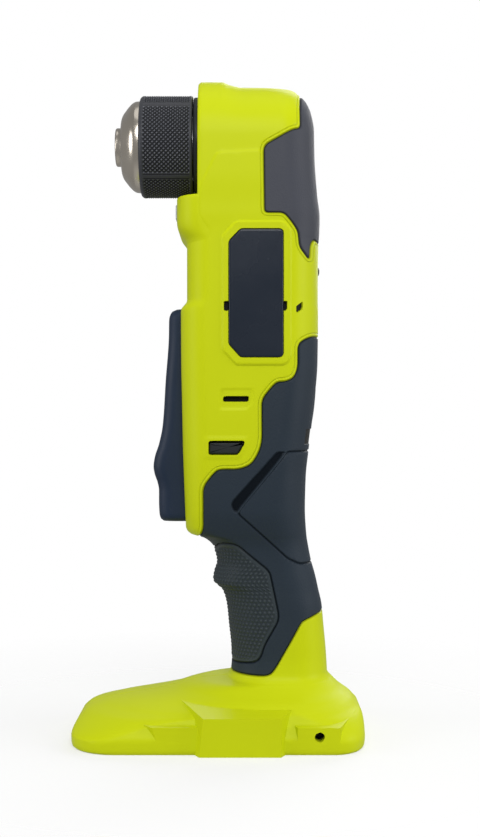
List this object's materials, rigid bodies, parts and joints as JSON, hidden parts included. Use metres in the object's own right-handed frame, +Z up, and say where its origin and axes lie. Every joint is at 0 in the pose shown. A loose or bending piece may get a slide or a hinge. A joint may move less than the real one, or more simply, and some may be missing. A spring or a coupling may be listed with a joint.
{
  "type": "right angle drill",
  "caption": "Upright cordless right angle drill with a keyless chuck, paddle trigger, overmoulded clamshell body and an empty battery foot.",
  "frame": {"origin": "centre of the bounding box at the underside of the foot", "axes": "+Z up the handle to the head, -X out of the chuck, -Y the side with the badge plate"},
  "size_m": [0.107, 0.077, 0.2461],
  "materials": {
    "lime_shell": "satin moulded",
    "grip_rubber": "matt textured",
    "head_rubber": "matt textured",
    "badge_gloss": "gloss",
    "black_plastic": "matt",
    "trigger_plastic": "matt",
    "lens_clear": "clear",
    "board_green": "satin",
    "gearcase_alloy": "cast",
    "gear_steel": "ground",
    "bearing_steel": "polished",
    "motor_steel": "laminated",
    "copper": "enamelled",
    "sleeve_black": "knurled",
    "chuck_steel": "dark",
    "nose_chrome": "polished",
    "terminal_brass": "plated",
    "lead_red": "insulated",
    "screw_steel": "blackened"
  },
  "bodies": {
    "housing": {"left_housing": "lime_shell", "right_housing": "lime_shell", "left_head_grip": "head_rubber", "right_head_grip": "head_rubber", "left_handle_grip": "grip_rubber", "right_handle_grip": "grip_rubber", "left_finger_grip": "grip_rubber", "right_finger_grip": "grip_rubber", "left_palm_pad": "grip_rubber", "right_palm_pad": "grip_rubber", "side_badge": "badge_gloss", "rear_badge": "badge_gloss", "rear_bumper": "grip_rubber", "lamp_lens": "lens_clear", "lamp_board": "board_green", "gearcase": "gearcase_alloy", "gearcase_cover": "gearcase_alloy", "gearcase_screws": "screw_steel", "ring_gear": "gear_steel", "front_bearing": "bearing_steel", "rear_bearing": "bearing_steel", "pinion_bearing": "bearing_steel", "motor_plate": "gearcase_alloy", "motor_stator": "motor_steel", "stator_windings": "copper", "motor_board": "board_green", "upper_motor_bearing": "bearing_steel", "lower_motor_bearing": "bearing_steel", "switch_body": "black_plastic", "control_board": "board_green", "terminal_block": "black_plastic", "battery_terminals": "terminal_brass", "battery_leads": "lead_red", "trigger_pin": "gear_steel", "housing_screws": "screw_steel"},
    "rotor": {"rotor_shaft": "gear_steel", "rotor_core": "motor_steel", "fan": "black_plastic", "sun_pinion": "gear_steel"},
    "carrier": {"planet_carrier": "gear_steel", "bevel_pinion": "gear_steel"},
    "planet_1": {"planet_gear_1": "gear_steel"},
    "planet_2": {"planet_gear_2": "gear_steel"},
    "planet_3": {"planet_gear_3": "gear_steel"},
    "chuck": {"spindle": "gear_steel", "bevel_gear": "gear_steel", "chuck_body": "chuck_steel", "chuck_nose": "nose_chrome", "chuck_back_ring": "sleeve_black", "chuck_screw": "screw_steel"},
    "sleeve": {"chuck_sleeve": "sleeve_black", "chuck_nut": "chuck_steel"},
    "jaw_1": {"jaw_1": "chuck_steel"},
    "jaw_2": {"jaw_2": "chuck_steel"},
    "jaw_3": {"jaw_3": "chuck_steel"},
    "trigger": {"trigger": "trigger_plastic"},
    "plunger": {"switch_plunger": "black_plastic"},
    "selector": {"direction_selector": "black_plastic"}
  },
  "joints": [
    {"name": "rotor_spin", "type": "hinge", "parent": "housing", "child": "rotor", "pos_m": [0.014, 0, 0.15], "axis": [0, 0, 1], "continuous": true},
    {"name": "carrier_spin", "type": "hinge", "parent": "housing", "child": "carrier", "pos_m": [0.014, 0, 0.195], "axis": [0, 0, 1], "continuous": true},
    {"name": "chuck_spin", "type": "hinge", "parent": "housing", "child": "chuck", "pos_m": [0, 0, 0.22189], "axis": [1, 0, 0], "continuous": true},
    {"name": "planet_1_spin", "type": "hinge", "parent": "carrier", "child": "planet_1", "pos_m": [0.0245, 0, 0.187], "axis": [0, 0, 1], "continuous": true},
    {"name": "planet_2_spin", "type": "hinge", "parent": "carrier", "child": "planet_2", "pos_m": [0.00875, 0.00909, 0.187], "axis": [0, 0, 1], "continuous": true},
    {"name": "planet_3_spin", "type": "hinge", "parent": "carrier", "child": "planet_3", "pos_m": [0.00875, -0.00909, 0.187], "axis": [0, 0, 1], "continuous": true},
    {"name": "sleeve_turn", "type": "hinge", "parent": "chuck", "child": "sleeve", "pos_m": [0, 0, 0.22189], "axis": [1, 0, 0], "range_deg": [0, 1800]},
    {"name": "jaw_1_slide", "type": "slide", "parent": "chuck", "child": "jaw_1", "axis": [-0.9397, 0, -0.342], "range_m": [0, 0.0148]},
    {"name": "jaw_2_slide", "type": "slide", "parent": "chuck", "child": "jaw_2", "axis": [-0.9397, 0.2962, 0.171], "range_m": [0, 0.0148]},
    {"name": "jaw_3_slide", "type": "slide", "parent": "chuck", "child": "jaw_3", "axis": [-0.9397, -0.2962, 0.171], "range_m": [0, 0.0148]},
    {"name": "trigger_swing", "type": "hinge", "parent": "housing", "child": "trigger", "pos_m": [-0.01175, 0, 0.15596], "axis": [0, -1, 0], "range_deg": [0, 4.6], "stiffness_Nm_per_rad": 4, "springref_deg": -2.86},
    {"name": "plunger_slide", "type": "slide", "parent": "housing", "child": "plunger", "axis": [1, 0, 0], "range_m": [0, 0.0048]},
    {"name": "selector_slide", "type": "slide", "parent": "housing", "child": "selector", "axis": [0, 1, 0], "range_m": [-0.0025, 0.0025]}
  ],
  "couplings": [
    {"joint": "carrier_spin", "follows": "rotor_spin", "ratio": 0.2},
    {"joint": "chuck_spin", "follows": "rotor_spin", "ratio": 0.1},
    {"joint": "planet_1_spin", "follows": "rotor_spin", "ratio": -0.53333},
    {"joint": "planet_2_spin", "follows": "rotor_spin", "ratio": -0.53333},
    {"joint": "planet_3_spin", "follows": "rotor_spin", "ratio": -0.53333},
    {"joint": "jaw_1_slide", "follows": "sleeve_turn", "m_per_rad": 0.000471},
    {"joint": "jaw_2_slide", "follows": "sleeve_turn", "m_per_rad": 0.000471},
    {"joint": "jaw_3_slide", "follows": "sleeve_turn", "m_per_rad": 0.000471},
    {"joint": "plunger_slide", "follows": "trigger_swing", "m_per_rad": 0.058}
  ]
}
